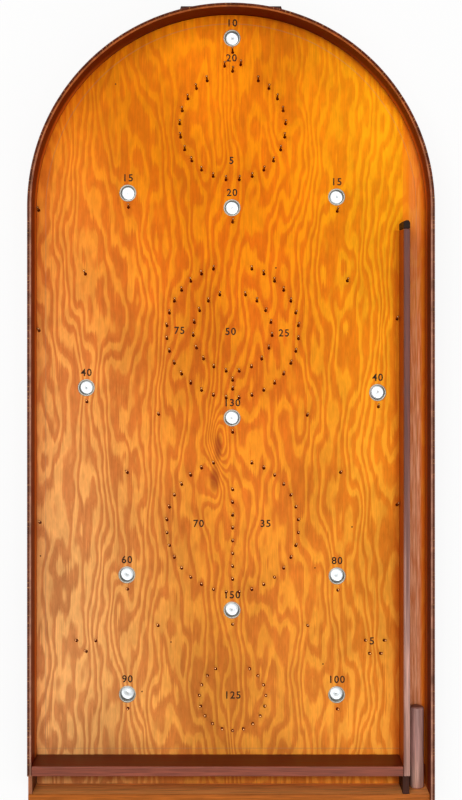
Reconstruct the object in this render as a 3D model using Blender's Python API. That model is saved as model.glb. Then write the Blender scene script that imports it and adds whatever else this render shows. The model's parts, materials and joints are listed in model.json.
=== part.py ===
"""A countertop bagatelle board: a plywood playfield in a bent-wood rim, with tin cups,
catch nails, a shooter lane with its push rod, and a folding prop leg under the far end.

Everything is laid out in board coordinates: u across the board, v along it towards the
arched end (v = 0 at the arch's centre), w up from the playing surface (w = 0). One empty
then tilts the whole board and stands it on the table."""

import math

import bmesh
import bpy
from mathutils import Matrix, Vector

MM = 0.001

# Overall sizes
BOARD_WIDTH = 406 * MM
STRAIGHT_LENGTH = 597.8 * MM
BOARD_TILT = math.radians(4.7)

# Rim, made of two bent bands
BAND_THICKNESS = 2 * MM
RIM_HEIGHT = 34 * MM
LOW_HEIGHT = 27 * MM

# Panel and the rails on it
PANEL_THICKNESS = 9.5 * MM
FRONT_RAIL_THICKNESS = 10 * MM
FRONT_RAIL_FLAT = 3.8 * MM
FRONT_RAIL_DROP = 2.5 * MM
TROUGH_WIDTH = 20.7 * MM
STOP_RAIL_THICKNESS = 9.7 * MM
DIVIDER_THICKNESS = 6.5 * MM
LANE_WIDTH = 20.6 * MM
DIVIDER_END = -13.4 * MM
DIVIDER_TIP_LENGTH = 8.4 * MM

# Push rod in the lane
ROD_LENGTH = 81.6 * MM
ROD_RADIUS = 7.2 * MM

# Cups
CUP_RADIUS = 7.4 * MM
CUP_FLANGE_RADIUS = CUP_RADIUS + 1.25 * MM
CUP_DEPTH = 6 * MM
CUP_WALL = 0.6 * MM
CUP_FILLET = 1.2 * MM
CUP_DIMPLE_RADIUS = 1.2 * MM
CUP_DIMPLE_HEIGHT = 0.5 * MM

# Nails
NAIL_HEIGHT = 9.6 * MM
NAIL_BURIED = 7.5 * MM
NAIL_RADIUS = 0.75 * MM
NAIL_HEAD_RADIUS = 1.2 * MM
NAIL_HEAD_THICKNESS = 0.9 * MM
NAIL_POINT = 1.5 * MM
NAIL_LEAN = math.radians(15)
NAIL_CLEARANCE = 0.15 * MM

# Prop leg and its butt hinge
LEG_WIDTH = 109 * MM
LEG_THICKNESS = 10 * MM
LEG_SPLAY = math.radians(21)
LEG_SETBACK = 15 * MM
HINGE_LENGTH = 44 * MM
LEAF_WIDTH = 24 * MM
LEAF_THICKNESS = 1.2 * MM
KNUCKLE_RADIUS = 2.2 * MM
PIN_RADIUS = 1 * MM
PIN_CLEARANCE = 0.2 * MM
SCREW_RADIUS = 1.1 * MM
SCREW_HEAD_RADIUS = 2.3 * MM
SCREW_HEAD_THICKNESS = 0.9 * MM
SCREW_LENGTH = 7.5 * MM
SCREW_ALONG_LEAF = 0.62 * LEAF_WIDTH
FIXED_SCREW_OFFSET = 0.34 * HINGE_LENGTH
MOVING_SCREW_OFFSET = 0.16 * HINGE_LENGTH

# Gap that keeps two touching solids apart, and the small rounding of a worked edge
GAP = 0.3 * MM
EDGE = 0.8 * MM

# How far a cutter reaches past the surface it cuts, and how finely round pieces are made
CUT_OVER = 2 * MM
LEAF_CUT_OVER = 4 * MM
ARCH_STEPS = 48
ROD_STEPS = 32
RECESS_STEPS = 24
CUP_STEPS = 20
HINGE_STEPS = 16
PIN_STEPS = 12
NAIL_STEPS = 8

# Places that follow from the sizes
OUTER = BOARD_WIDTH / 2
BAND_JOIN = OUTER - BAND_THICKNESS
INNER = OUTER - 2 * BAND_THICKNESS
UNDERSIDE = -PANEL_THICKNESS
FRONT = -STRAIGHT_LENGTH
FRONT_RAIL_BACK = FRONT + FRONT_RAIL_THICKNESS
STOP_RAIL_FRONT = FRONT_RAIL_BACK + TROUGH_WIDTH
STOP_RAIL_BACK = STOP_RAIL_FRONT + STOP_RAIL_THICKNESS
DIVIDER_RIGHT = INNER - LANE_WIDTH
DIVIDER_LEFT = DIVIDER_RIGHT - DIVIDER_THICKNESS
HINGE_V = OUTER - LEG_SETBACK
HINGE_W = UNDERSIDE - GAP - KNUCKLE_RADIUS

# Cups by the score printed above them: (name, u, v)
CUPS = (
    ("cup_10", 1 * MM, 175 * MM),
    ("cup_15_left", -105.5 * MM, 16.5 * MM),
    ("cup_15_right", 108 * MM, 12.5 * MM),
    ("cup_20", 1 * MM, 1.5 * MM),
    ("cup_40_left", -148 * MM, -182.5 * MM),
    ("cup_40_right", 150 * MM, -187.5 * MM),
    ("cup_130", 1 * MM, -213.5 * MM),
    ("cup_60", -106.5 * MM, -374 * MM),
    ("cup_80", 108.5 * MM, -375 * MM),
    ("cup_150", 1 * MM, -410 * MM),
    ("cup_90", -106 * MM, -496 * MM),
    ("cup_100", 108 * MM, -496.5 * MM),
)
CATCH_NAIL_BELOW_CUP = 14.3 * MM
CATCH_NAIL_SHIFT = 0.7 * MM

# Nails that stand alone and turn the ball: (name, u, v) of the point where each enters
DEFLECTORS = (
    ("nail_shoulder_left", -196.6 * MM, -1 * MM),
    ("nail_upper_left", -149 * MM, -66 * MM),
    ("nail_upper_right", 119 * MM, -73 * MM),
    ("nail_edge_upper_left", -196.2 * MM, -124 * MM),
    ("nail_edge_upper_right", 169.8 * MM, -112 * MM),
    ("nail_inner_left", -74 * MM, -209.5 * MM),
    ("nail_inner_right", 78 * MM, -210.5 * MM),
    ("nail_middle_left", -106 * MM, -269 * MM),
    ("nail_middle_right", 112 * MM, -269 * MM),
    ("nail_edge_lower_left", -195.2 * MM, -320 * MM),
    ("nail_edge_lower_right", 169.8 * MM, -302 * MM),
    ("nail_lower_left", -74.5 * MM, -425.5 * MM),
    ("nail_lower_right", 78.5 * MM, -425.5 * MM),
)

COLOURS = {
    "fir_plywood": ((0.80, 0.30, 0.03), 0.35, 0.0),
    "rim_wood": ((0.20, 0.05, 0.02), 0.4, 0.0),
    "rail_wood": ((0.32, 0.10, 0.05), 0.4, 0.0),
    "dark_wood": ((0.06, 0.025, 0.015), 0.5, 0.0),
    "rod_wood": ((0.36, 0.16, 0.12), 0.45, 0.0),
    "tin_plate": ((0.75, 0.76, 0.76), 0.3, 1.0),
    "nail_steel": ((0.20, 0.10, 0.06), 0.45, 1.0),
    "hinge_steel": ((0.35, 0.33, 0.30), 0.4, 1.0),
}


def clear_scene():
    for obj in list(bpy.data.objects):
        bpy.data.objects.remove(obj, do_unlink=True)


def material(name):
    """The Principled material of that name, made the first time it is asked for."""
    found = bpy.data.materials.get(name)
    if found:
        return found
    colour, roughness, metallic = COLOURS[name]
    made = bpy.data.materials.new(name)
    made.use_nodes = True
    shader = made.node_tree.nodes["Principled BSDF"]
    shader.inputs["Base Color"].default_value = (*colour, 1)
    shader.inputs["Roughness"].default_value = roughness
    shader.inputs["Metallic"].default_value = metallic
    return made


def add_object(name, mesh_builder, material_name, parent):
    """Turns a bmesh into a named object under its parent."""
    bmesh.ops.recalc_face_normals(mesh_builder, faces=mesh_builder.faces)
    mesh = bpy.data.meshes.new(name)
    mesh_builder.to_mesh(mesh)
    mesh_builder.free()
    mesh.materials.append(material(material_name))
    obj = bpy.data.objects.new(name, mesh)
    bpy.context.scene.collection.objects.link(obj)
    obj.parent = parent
    return obj


def add_empty(name, parent=None):
    empty = bpy.data.objects.new(name, None)
    bpy.context.scene.collection.objects.link(empty)
    empty.parent = parent
    return empty


def extruded(points, direction):
    """A bmesh prism: the polygon through the points, pushed along the direction."""
    builder = bmesh.new()
    face = builder.faces.new([builder.verts.new(point) for point in points])
    pushed = bmesh.ops.extrude_face_region(builder, geom=[face])
    moved = [item for item in pushed["geom"] if isinstance(item, bmesh.types.BMVert)]
    bmesh.ops.translate(builder, verts=moved, vec=direction)
    return builder


def plan_prism(outline, low, high):
    """An outline of (u, v) points that stands from w = low to w = high."""
    return extruded([(u, v, low) for u, v in outline], (0, 0, high - low))


def side_prism(profile, left, right):
    """A profile of (v, w) points that runs from u = left to u = right."""
    return extruded([(left, v, w) for v, w in profile], (right - left, 0, 0))


def box(low, high):
    corners = [(low[0], low[1]), (high[0], low[1]), (high[0], high[1]), (low[0], high[1])]
    return plan_prism(corners, low[2], high[2])


def turned(profile, steps):
    """A bmesh turned about w from a profile of (radius, w) points that starts and ends on
    the axis."""
    builder = bmesh.new()
    verts = [builder.verts.new((radius, 0, w)) for radius, w in profile]
    edges = [builder.edges.new(pair) for pair in zip(verts, verts[1:])]
    bmesh.ops.spin(
        builder,
        geom=verts + edges,
        cent=(0, 0, 0),
        axis=(0, 0, 1),
        angle=2 * math.pi,
        steps=steps,
        use_merge=True,
    )
    bmesh.ops.remove_doubles(builder, verts=builder.verts, dist=MM / 1000)
    return builder


def bevelled(obj, width, segments=2):
    bevel = obj.modifiers.new("worked_edges", "BEVEL")
    bevel.width = width
    bevel.segments = segments
    bevel.limit_method = "ANGLE"
    return obj


def cut(obj, name, cutter_builder, operation="DIFFERENCE"):
    """Cuts the obj with a hidden helper, or joins the helper to it."""
    cutter = add_object(name, cutter_builder, "dark_wood", obj.parent)
    cutter.hide_render = True
    cutter.display_type = "WIRE"
    boolean = obj.modifiers.new(name, "BOOLEAN")
    boolean.operation = operation
    boolean.object = cutter
    return obj


def merged(builders):
    """One bmesh from several that don't touch, each as (bmesh, matrix)."""
    whole = bmesh.new()
    for builder, matrix in builders:
        builder.transform(matrix)
        part = bpy.data.meshes.new("part")
        bmesh.ops.recalc_face_normals(builder, faces=builder.faces)
        builder.to_mesh(part)
        builder.free()
        whole.from_mesh(part)
        bpy.data.meshes.remove(part)
    return whole


def arch(radius, steps=ARCH_STEPS):
    """Points of the half circle, from the right-hand side over the top to the left."""
    angles = [math.pi * step / steps for step in range(steps + 1)]
    return [(radius * math.cos(angle), radius * math.sin(angle)) for angle in angles]


def horseshoe(radius, right_end, left_end):
    """A U outline: up the right side, round the arch and down the left side."""
    return [(radius, right_end), *arch(radius), (-radius, left_end)]


def table_w(v):
    """How low the table lies below the playing surface at v."""
    front_w = UNDERSIDE - FRONT_RAIL_DROP
    return front_w - (v - FRONT) * math.tan(BOARD_TILT)


def catch_nails():
    """The nail below each cup, which keeps a ball that drops beside the cup."""
    for cup, u, v in CUPS:
        name = cup.replace("cup", "catch_nail")
        yield name, u + CATCH_NAIL_SHIFT, v - CATCH_NAIL_BELOW_CUP


def nail_matrix(u, v):
    return Matrix.Translation((u, v, 0)) @ Matrix.Rotation(-NAIL_LEAN, 4, "X")


def cup_recess_radius():
    return CUP_RADIUS + CUP_WALL + GAP


def hole(radius, depth, steps=NAIL_STEPS, over=CUT_OVER):
    """A plain round cutter that goes to the depth, and clear of the surface above."""
    return turned([(0, -depth), (radius, -depth), (radius, over), (0, over)], steps)


def screw_hole(over=CUT_OVER):
    return hole(SCREW_RADIUS + NAIL_CLEARANCE, SCREW_LENGTH, over=over)


def make_panel(parent):
    edge = INNER - GAP
    front = FRONT_RAIL_BACK + GAP
    outline = horseshoe(edge, front, front)
    panel = add_object(
        "playfield_panel", plan_prism(outline, UNDERSIDE, 0), "fir_plywood", parent
    )
    recess_depth = CUP_DEPTH + CUP_WALL + GAP
    recesses = [
        (hole(cup_recess_radius(), recess_depth, RECESS_STEPS), Matrix.Translation((u, v, 0)))
        for _, u, v in CUPS
    ]
    nail_holes = [
        (hole(NAIL_RADIUS + NAIL_CLEARANCE, NAIL_BURIED + GAP), nail_matrix(u, v))
        for _, u, v in (*catch_nails(), *DEFLECTORS)
    ]
    screw_holes = [(screw_hole(), matrix) for matrix in fixed_screw_places()]
    return cut(panel, "panel_holes", merged([*recesses, *nail_holes, *screw_holes]))


def make_rim(parent):
    """Two bands bent round the panel. The right side runs on past the front rail."""
    left_end = STOP_RAIL_FRONT
    for name, inside, outside in (
        ("rim_inner_band", INNER, BAND_JOIN - GAP / 2),
        ("rim_outer_band", BAND_JOIN + GAP / 2, OUTER),
    ):
        outer_side = horseshoe(outside, FRONT, left_end)
        inner_side = horseshoe(inside, FRONT, left_end)
        outline = [*outer_side, *reversed(inner_side)]
        add_object(name, plan_prism(outline, UNDERSIDE, RIM_HEIGHT), "rim_wood", parent)
    step = box(
        (-OUTER, FRONT_RAIL_BACK + GAP, UNDERSIDE), (-INNER, left_end - GAP, LOW_HEIGHT)
    )
    bevelled(add_object("left_rim_step", step, "rim_wood", parent), EDGE / 2)


def make_front_rail(parent):
    """The rail across the near end. Its front upper edge is rounded over, and its foot is
    planed level with the table."""
    round_over = FRONT_RAIL_THICKNESS - FRONT_RAIL_FLAT
    steps = 6
    angles = [math.pi / 2 * step / steps for step in range(steps + 1)]
    nose = [
        (
            FRONT + round_over * (1 - math.sin(angle)),
            LOW_HEIGHT - round_over * (1 - math.cos(angle)),
        )
        for angle in angles
    ]
    back = FRONT_RAIL_BACK
    profile = [(FRONT, table_w(FRONT)), (back, table_w(back)), (back, LOW_HEIGHT)]
    profile += nose
    rail = side_prism(profile, -OUTER, INNER - GAP)
    add_object("front_rail", rail, "rail_wood", parent)


def make_inner_rails(parent):
    """The ball-stop rail, the lane divider with its nose, and the block below it."""
    stop_rail = box(
        (-INNER + GAP, STOP_RAIL_FRONT, GAP),
        (DIVIDER_LEFT - GAP, STOP_RAIL_BACK, RIM_HEIGHT),
    )
    bevelled(add_object("ball_stop_rail", stop_rail, "rail_wood", parent), EDGE)

    tip_start = DIVIDER_END - DIVIDER_TIP_LENGTH
    divider = box(
        (DIVIDER_LEFT, STOP_RAIL_FRONT, GAP), (DIVIDER_RIGHT, tip_start, RIM_HEIGHT)
    )
    bevelled(add_object("lane_divider", divider, "rail_wood", parent), EDGE)

    half = DIVIDER_THICKNESS / 2
    centre_u = DIVIDER_LEFT + half
    centre_v = DIVIDER_END - half
    nose = [(centre_u + u, centre_v + v) for u, v in arch(half, 10)]
    outline = [(DIVIDER_RIGHT, tip_start + GAP), *nose, (DIVIDER_LEFT, tip_start + GAP)]
    add_object("divider_tip", plan_prism(outline, GAP, RIM_HEIGHT), "dark_wood", parent)

    block = box(
        (DIVIDER_LEFT, FRONT_RAIL_BACK + GAP, GAP),
        (DIVIDER_RIGHT, STOP_RAIL_FRONT - GAP, LOW_HEIGHT),
    )
    bevelled(add_object("divider_step_block", block, "dark_wood", parent), EDGE / 2)


def make_push_rod(parent):
    """The loose dowel that shoots the ball. Its origin is on its own axis."""
    middle = (DIVIDER_RIGHT + INNER) / 2
    profile = [
        (0, 0),
        (ROD_RADIUS - EDGE, 0),
        (ROD_RADIUS, EDGE),
        (ROD_RADIUS, ROD_LENGTH - EDGE),
        (ROD_RADIUS - EDGE, ROD_LENGTH),
        (0, ROD_LENGTH),
    ]
    rod_mesh = turned(profile, ROD_STEPS)
    rod_mesh.transform(Matrix.Rotation(-math.pi / 2, 4, "X"))
    obj = add_object("plunger_rod", rod_mesh, "rod_wood", parent)
    obj.location = (middle, FRONT_RAIL_BACK + GAP, ROD_RADIUS + GAP)


def make_cups(parent):
    inside, wall, depth = CUP_RADIUS, CUP_WALL, CUP_DEPTH
    flange, fillet, dimple = CUP_FLANGE_RADIUS, CUP_FILLET, CUP_DIMPLE_RADIUS
    lip = GAP + wall
    profile = [
        (0, CUP_DIMPLE_HEIGHT - depth),
        (0.67 * dimple, 0.7 * CUP_DIMPLE_HEIGHT - depth),
        (dimple, -depth),
        (inside - 1.6 * fillet, -depth),
        (inside - 0.6 * fillet, 0.35 * fillet - depth),
        (inside - 0.2 * fillet, fillet - depth),
        (inside, GAP),
        (inside + wall / 2, lip),
        (flange - wall / 2, lip),
        (flange, lip - wall / 3),
        (flange, GAP),
        (inside + wall, GAP),
        (inside + wall - 0.2 * fillet, fillet - depth),
        (inside + wall - 1.3 * fillet, -depth - wall),
        (0, -depth - wall),
    ]
    for name, u, v in CUPS:
        cup = add_object(name, turned(profile, CUP_STEPS), "tin_plate", parent)
        cup.location = (u, v, 0)


def make_nails(parent):
    head, shank, top = NAIL_HEAD_RADIUS, NAIL_RADIUS, NAIL_HEIGHT
    profile = [
        (0, -NAIL_BURIED),
        (shank, NAIL_POINT - NAIL_BURIED),
        (shank, top - NAIL_HEAD_THICKNESS),
        (head, top - 0.67 * NAIL_HEAD_THICKNESS),
        (head, top - 0.22 * NAIL_HEAD_THICKNESS),
        (0.6 * head, top),
        (0, top),
    ]
    for name, u, v in (*catch_nails(), *DEFLECTORS):
        nail = add_object(name, turned(profile, NAIL_STEPS), "nail_steel", parent)
        nail.matrix_local = nail_matrix(u, v)


def fixed_screw_places():
    """Matrices of the screws that go up into the panel. Their head end is -w."""
    for side in (-1, 1):
        place = (side * FIXED_SCREW_OFFSET, HINGE_V - SCREW_ALONG_LEAF, UNDERSIDE)
        yield Matrix.Translation(place) @ Matrix.Rotation(math.pi, 4, "X")


def moving_screw_places():
    """The same for the leg, from its hinge axis: the leaf lies on the leg's near face."""
    face = KNUCKLE_RADIUS + GAP
    direction = Vector((0, math.sin(LEG_SPLAY), -math.cos(LEG_SPLAY)))
    outward = Vector((0, math.cos(LEG_SPLAY), math.sin(LEG_SPLAY)))
    for side in (-1, 1):
        place = direction * SCREW_ALONG_LEAF + outward * face
        place.x = side * MOVING_SCREW_OFFSET
        turn = Matrix.Rotation(math.pi / 2 + LEG_SPLAY, 4, "X")
        yield Matrix.Translation(place) @ turn


def lengthwise(builder):
    """Turns a piece made along w so that it lies along u."""
    builder.transform(Matrix.Rotation(math.pi / 2, 4, "Y"))
    return builder


def round_bar(radius, start, end, steps=HINGE_STEPS):
    return lengthwise(turned([(0, start), (radius, start), (radius, end), (0, end)], steps))


def make_leaf(name, parent, side, knuckles, screw_matrices):
    """A hinge leaf along -v from its axis, its wood side tangent to its knuckles: at their
    top when side is 1, and at their bottom when it is -1. It is a plate, a tab and a
    knuckle for each (start, end) in knuckles, and holes."""
    half = HINGE_LENGTH / 2
    clear = KNUCKLE_RADIUS + GAP
    low, top = sorted((side * KNUCKLE_RADIUS, side * (KNUCKLE_RADIUS - LEAF_THICKNESS)))
    plate = box((-half, -LEAF_WIDTH, low), (half, -clear, top))
    leaf = add_object(name, plate, "hinge_steel", parent)
    for number, (start, end) in enumerate(knuckles):
        tab = box((start, -clear - MM, low), (end, 0, top))
        cut(leaf, f"{name}_tab_{number}", tab, "UNION")
        knuckle = round_bar(KNUCKLE_RADIUS, start, end)
        cut(leaf, f"{name}_knuckle_{number}", knuckle, "UNION")
    bore = round_bar(PIN_RADIUS + PIN_CLEARANCE, -half - MM, half + MM)
    cut(leaf, f"{name}_bore", bore)
    holes = [
        (screw_hole(LEAF_CUT_OVER), matrix)
        for matrix in screw_matrices
    ]
    return cut(leaf, f"{name}_screw_holes", merged(holes))


def make_screw(name, parent, matrix):
    """A pan-head screw whose head bears on a leaf. w = 0 is the wood's face."""
    bearing = LEAF_THICKNESS + 2 * GAP
    profile = [
        (0, GAP - SCREW_LENGTH),
        (SCREW_RADIUS, NAIL_POINT - SCREW_LENGTH),
        (SCREW_RADIUS, bearing),
        (SCREW_HEAD_RADIUS, bearing),
        (SCREW_HEAD_RADIUS, bearing + SCREW_HEAD_THICKNESS / 2),
        (SCREW_HEAD_RADIUS * 0.6, bearing + SCREW_HEAD_THICKNESS),
        (0, bearing + SCREW_HEAD_THICKNESS),
    ]
    screw = add_object(name, turned(profile, PIN_STEPS), "hinge_steel", parent)
    screw.matrix_local = matrix
    return screw


def leg_profile():
    """(v, w) corners of the leg from its hinge axis: four faces cut by the panel's
    underside above and by the table below."""
    near = KNUCKLE_RADIUS + GAP
    sine, cosine, slope = math.sin(LEG_SPLAY), math.cos(LEG_SPLAY), math.tan(BOARD_TILT)
    top_w = UNDERSIDE - GAP - HINGE_W
    table = table_w(HINGE_V) - HINGE_W
    corners = []
    for offset in (near, near + LEG_THICKNESS):
        v, w = offset * cosine, offset * sine
        up = (w - top_w) / cosine
        down = (w - table + v * slope) / (cosine - sine * slope)
        corners.append([(v + length * sine, w - length * cosine) for length in (up, down)])
    (near_top, near_foot), (far_top, far_foot) = corners
    return [near_top, near_foot, far_foot, far_top]


def make_prop_leg(parent):
    """The leg that holds the far end up, with its butt hinge. The leg's empty lies on the
    hinge axis, and the leg at rest bears on the panel's underside."""
    axis = add_empty("prop_leg_axis", parent)
    axis.location = (0, HINGE_V, HINGE_W)
    half = LEG_WIDTH / 2
    leg = add_object("prop_leg", side_prism(leg_profile(), -half, half), "rail_wood", axis)
    screws = list(moving_screw_places())
    holes = [(screw_hole(), matrix) for matrix in screws]
    cut(leg, "leg_screw_holes", merged(holes))

    middle_half = HINGE_LENGTH / 6
    fixed_axis = Matrix.Translation((0, HINGE_V, HINGE_W))
    local = [fixed_axis.inverted() @ matrix for matrix in fixed_screw_places()]
    fixed_knuckles = (
        (-HINGE_LENGTH / 2, -middle_half - GAP / 2),
        (middle_half + GAP / 2, HINGE_LENGTH / 2),
    )
    fixed = make_leaf("hinge_fixed_leaf", parent, 1, fixed_knuckles, local)
    place_leaf(fixed, (0, HINGE_V, HINGE_W), 0)

    turn = math.pi / 2 + LEG_SPLAY
    unturn = Matrix.Rotation(-turn, 4, "X")
    local = [unturn @ matrix for matrix in screws]
    moving_knuckles = ((-middle_half + GAP / 2, middle_half - GAP / 2),)
    moving = make_leaf("hinge_moving_leaf", axis, -1, moving_knuckles, local)
    place_leaf(moving, (0, 0, 0), turn)

    pin = round_bar(PIN_RADIUS, -HINGE_LENGTH / 2 - GAP, HINGE_LENGTH / 2 + GAP, PIN_STEPS)
    add_object("hinge_pin", pin, "hinge_steel", parent).location = (0, HINGE_V, HINGE_W)
    for number, matrix in enumerate(fixed_screw_places(), 1):
        make_screw(f"hinge_screw_panel_{number}", parent, matrix)
    for number, matrix in enumerate(screws, 1):
        make_screw(f"hinge_screw_leg_{number}", axis, matrix)


def place_leaf(leaf, location, turn):
    """Moves the leaf and its cutters, which were made about the hinge axis."""
    for obj in (leaf, *[modifier.object for modifier in leaf.modifiers]):
        obj.location = location
        obj.rotation_euler = (turn, 0, 0)


def stand_on_table(board):
    """Tilts the board and puts the middle of the whole model's foot print at the origin."""
    board.rotation_euler = (BOARD_TILT, 0, 0)
    bpy.context.view_layer.update()
    graph = bpy.context.evaluated_depsgraph_get()
    points = [
        obj.matrix_world @ vertex.co
        for obj in bpy.context.scene.objects
        if obj.type == "MESH" and not obj.hide_render
        for vertex in obj.evaluated_get(graph).data.vertices
    ]
    lows = [min(point[i] for point in points) for i in range(3)]
    highs = [max(point[i] for point in points) for i in range(3)]
    board.location = (-(lows[0] + highs[0]) / 2, -(lows[1] + highs[1]) / 2, -lows[2])
    bpy.context.view_layer.update()


def main():
    clear_scene()
    board = add_empty("board")
    make_panel(board)
    make_rim(board)
    make_front_rail(board)
    make_inner_rails(board)
    make_push_rod(board)
    make_cups(board)
    make_nails(board)
    make_prop_leg(board)
    stand_on_table(board)


main()
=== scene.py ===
# %% [markdown]
# # A tabletop bagatelle board
# Bagatelle is the flat ancestor of pinball: a marble is pushed up the lane on the right, comes
# round the arched end and rolls down between rings of nails into shallow tin cups. This lesson
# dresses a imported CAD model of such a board. Three things carry the look: a sheet of fir plywood
# under amber shellac, a rim of bent wood, and a great many small nails.
#
# The CAD model arrives as a fixed frame. Its pieces are never moved. A piece is either given a
# finish as it stands, or hidden behind a finer mesh that rides on the same body.

# %% Load the frame
import json
import math

import bmesh
import bpy
from mathutils import Matrix, Vector, noise

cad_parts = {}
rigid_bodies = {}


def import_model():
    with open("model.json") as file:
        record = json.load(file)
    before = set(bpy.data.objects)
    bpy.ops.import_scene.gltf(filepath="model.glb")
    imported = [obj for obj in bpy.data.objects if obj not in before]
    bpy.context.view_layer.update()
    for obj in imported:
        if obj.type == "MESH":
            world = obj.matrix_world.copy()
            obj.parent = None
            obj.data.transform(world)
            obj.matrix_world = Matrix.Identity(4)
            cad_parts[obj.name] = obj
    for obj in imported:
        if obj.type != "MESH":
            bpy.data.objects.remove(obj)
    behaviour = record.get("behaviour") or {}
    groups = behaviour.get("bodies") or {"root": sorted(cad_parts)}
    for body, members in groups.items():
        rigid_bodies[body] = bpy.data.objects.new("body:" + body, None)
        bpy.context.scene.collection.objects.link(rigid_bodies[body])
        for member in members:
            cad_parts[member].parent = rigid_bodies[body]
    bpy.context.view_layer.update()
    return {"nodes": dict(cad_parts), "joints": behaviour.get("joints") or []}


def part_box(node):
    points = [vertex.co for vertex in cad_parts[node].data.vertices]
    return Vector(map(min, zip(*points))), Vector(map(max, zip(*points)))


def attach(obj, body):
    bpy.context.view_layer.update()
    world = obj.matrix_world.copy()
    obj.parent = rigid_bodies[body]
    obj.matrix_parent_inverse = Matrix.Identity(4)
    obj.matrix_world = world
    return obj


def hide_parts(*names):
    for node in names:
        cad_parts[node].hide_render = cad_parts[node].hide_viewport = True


for startup_object in list(bpy.data.objects):
    bpy.data.objects.remove(startup_object, do_unlink=True)

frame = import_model()
MM = 0.001

# %% [markdown]
# ## Board coordinates
# The board stands on a prop leg, so it slopes. Sizes on it are easier to think about on the flat:
# u across, v along it towards the arch, w up from the playing surface, with v = 0 at the centre
# of the arch. The push rod slides along v, so the direction of its joint gives the slope, and
# the far edge of the panel, which is a half circle, gives the centre.

# %% Find the slope and the centre of the arch
slide = next(joint for joint in frame["joints"] if joint["name"] == "plunger_slide")
tilt = math.atan2(slide["axis"][2], slide["axis"][1])
PANEL_THICKNESS = 9.5 * MM
panel_low, panel_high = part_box("playfield_panel")
panel_radius = (panel_high.x - panel_low.x) / 2
origin = Vector(
    (
        (panel_low.x + panel_high.x) / 2,
        panel_high.y - panel_radius * math.cos(tilt) - PANEL_THICKNESS * math.sin(tilt),
        panel_high.z - panel_radius * math.sin(tilt),
    )
)
BOARD = Matrix.Translation(origin) @ Matrix.Rotation(tilt, 4, "X")
TO_BOARD = BOARD.inverted()
print(f"slope {math.degrees(tilt):.2f} degrees, arch radius {panel_radius:.4f} m")


def board_box(node_name):
    """Lowest and highest corner of a CAD node in board coordinates."""
    points = [TO_BOARD @ vertex.co for vertex in frame["nodes"][node_name].data.vertices]
    low = Vector([min(point[i] for point in points) for i in range(3)])
    high = Vector([max(point[i] for point in points) for i in range(3)])
    return low, high


# %% Read the sizes that the pieces share
RIM_STRIP = 2 * MM
outer_low, outer_high = board_box("rim_outer_band")
stop_low, stop_high = board_box("ball_stop_rail")
divider_low, divider_high = board_box("lane_divider")
rod_low, rod_high = board_box("plunger_rod")
OUTER = (outer_high.x - outer_low.x) / 2
JOIN = OUTER - RIM_STRIP
INNER = OUTER - 2 * RIM_STRIP
RIM_HEIGHT = outer_high.z
LOW_HEIGHT = board_box("front_rail")[1].z
print(f"rim {OUTER * 2:.3f} m wide, {RIM_HEIGHT:.3f} m above the playing surface")

# %% [markdown]
# ## A few small helpers
# Colours are written as the hex values a painter would pick and turned to linear light once.
# One function gives an input its value or its link, and one adds a shader or geometry node with
# its settings and inputs. The others turn a shape made on the flat into a plain mesh and then a
# finished piece: it is laid on the slope in its vertices, so that its object stays at the origin,
# and it rides on a body.


# %% Helpers
def srgb(text):
    """A hex colour such as #D87A20 as linear RGBA."""
    parts = [int(text[i : i + 2], 16) / 255 for i in (1, 3, 5)]
    linear = [c / 12.92 if c <= 0.04045 else ((c + 0.055) / 1.055) ** 2.4 for c in parts]
    return (*linear, 1.0)


def give(tree, socket, value):
    """Gives an input a constant, a hex colour, an output, or a node's first output in use."""
    if isinstance(value, str):
        value = srgb(value)
    if isinstance(value, bpy.types.Node):
        value = next(output for output in value.outputs if output.enabled)
    if isinstance(value, bpy.types.NodeSocket):
        tree.links.new(value, socket)
    else:
        socket.default_value = value


def node(tree, kind, inputs=None, **settings):
    """Adds a node. An input is named by its number, or by its name among those in use."""
    made = tree.nodes.new(kind)
    for key, value in settings.items():
        setattr(made, key, value)
    in_use = {socket.name: socket for socket in reversed(made.inputs) if socket.enabled}
    for key, value in (inputs or {}).items():
        give(tree, made.inputs[key] if isinstance(key, int) else in_use[key], value)
    return made


def as_mesh(builder, name):
    """The plain mesh of a bmesh, which is then let go."""
    mesh = bpy.data.meshes.new(name)
    builder.to_mesh(mesh)
    builder.free()
    return mesh


def settled_mesh(obj):
    """The plain mesh that an object's modifiers or letters come to. The object then goes."""
    bpy.context.scene.collection.objects.link(obj)
    bpy.context.view_layer.update()
    graph = bpy.context.evaluated_depsgraph_get()
    mesh = bpy.data.meshes.new_from_object(obj.evaluated_get(graph), depsgraph=graph)
    bpy.data.objects.remove(obj, do_unlink=True)
    return mesh


def piece(name, mesh, material, body, replaces=()):
    """A finished piece from a mesh in board coordinates."""
    mesh.transform(BOARD)
    mesh.name = name
    mesh.materials.clear()
    mesh.materials.append(material)
    obj = bpy.data.objects.new(name, mesh)
    bpy.context.scene.collection.objects.link(obj)
    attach(obj, body)
    if replaces:
        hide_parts(*replaces)
    print(f"{name}: {len(mesh.polygons)} faces on {body}")
    return obj


# %% [markdown]
# ## Camera, floor and light
# The camera looks straight down on the board, so it takes the board's own tilt. It hangs a little
# above the middle, and a lens shift brings the near rail back into the frame. The floor and the
# sky show white to the camera and to reflections; a share of the floor stays a plain diffuse
# surface, which keeps the soft shadow. Three large lamps light the board evenly: one almost
# overhead, and two from far left and near right, so that the inside of the rim is not black.

# %% Camera
CAMERA_HEIGHT = 1240 * MM
CAMERA_V = -99 * MM
VIEW_HEIGHT = 818.4 * MM
AXIS_ABOVE_CENTRE = 0.1175
NEAREST_SEEN = 0.05
FARTHEST_SEEN = 50

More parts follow.
